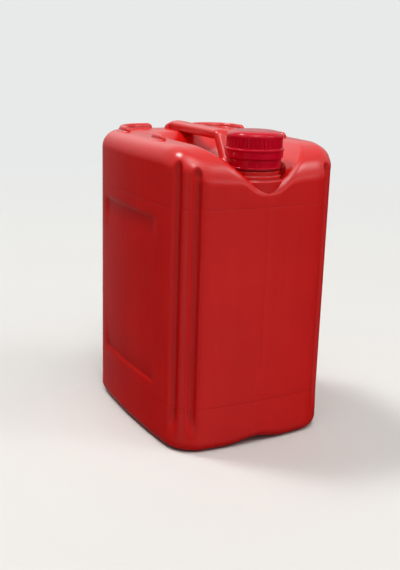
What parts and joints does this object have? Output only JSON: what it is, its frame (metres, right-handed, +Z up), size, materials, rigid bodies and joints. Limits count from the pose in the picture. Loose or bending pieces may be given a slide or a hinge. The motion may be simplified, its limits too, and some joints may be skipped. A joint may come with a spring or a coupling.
{
  "type": "plastic jerrycan",
  "caption": "Blow-moulded rectangular jerrycan with fluted corners, a sunk top, a moulded carrying handle, a stacking rim and a ribbed screw cap over a tamper ring.",
  "frame": {"origin": "middle of the base, on the plane the can stands on", "axes": "+Z up, -Y towards the face under the neck, +X to the right of someone who faces it from -Y"},
  "size_m": [0.24, 0.29, 0.4016],
  "materials": {
    "can_red": "satin moulded polyethylene",
    "cap_red": "glossy moulded polyethylene",
    "foam_white": "fine closed-cell foam"
  },
  "bodies": {
    "can": {"can_body": "can_red", "tamper_ring": "cap_red"},
    "seal": {"sealing_disc": "foam_white"},
    "cap": {"screw_cap": "cap_red"}
  },
  "joints": [
    {"name": "cap_lift", "type": "slide", "parent": "can", "child": "seal", "axis": [0, 0, 1], "range_m": [0, 0.01501]},
    {"name": "cap_turn", "type": "hinge", "parent": "seal", "child": "cap", "pos_m": [0, -0.106, 0.38], "axis": [0, 0, 1], "range_deg": [0, 1080]}
  ],
  "couplings": [
    {"joint": "cap_lift", "follows": "cap_turn", "m_per_rad": 0.00079577}
  ]
}
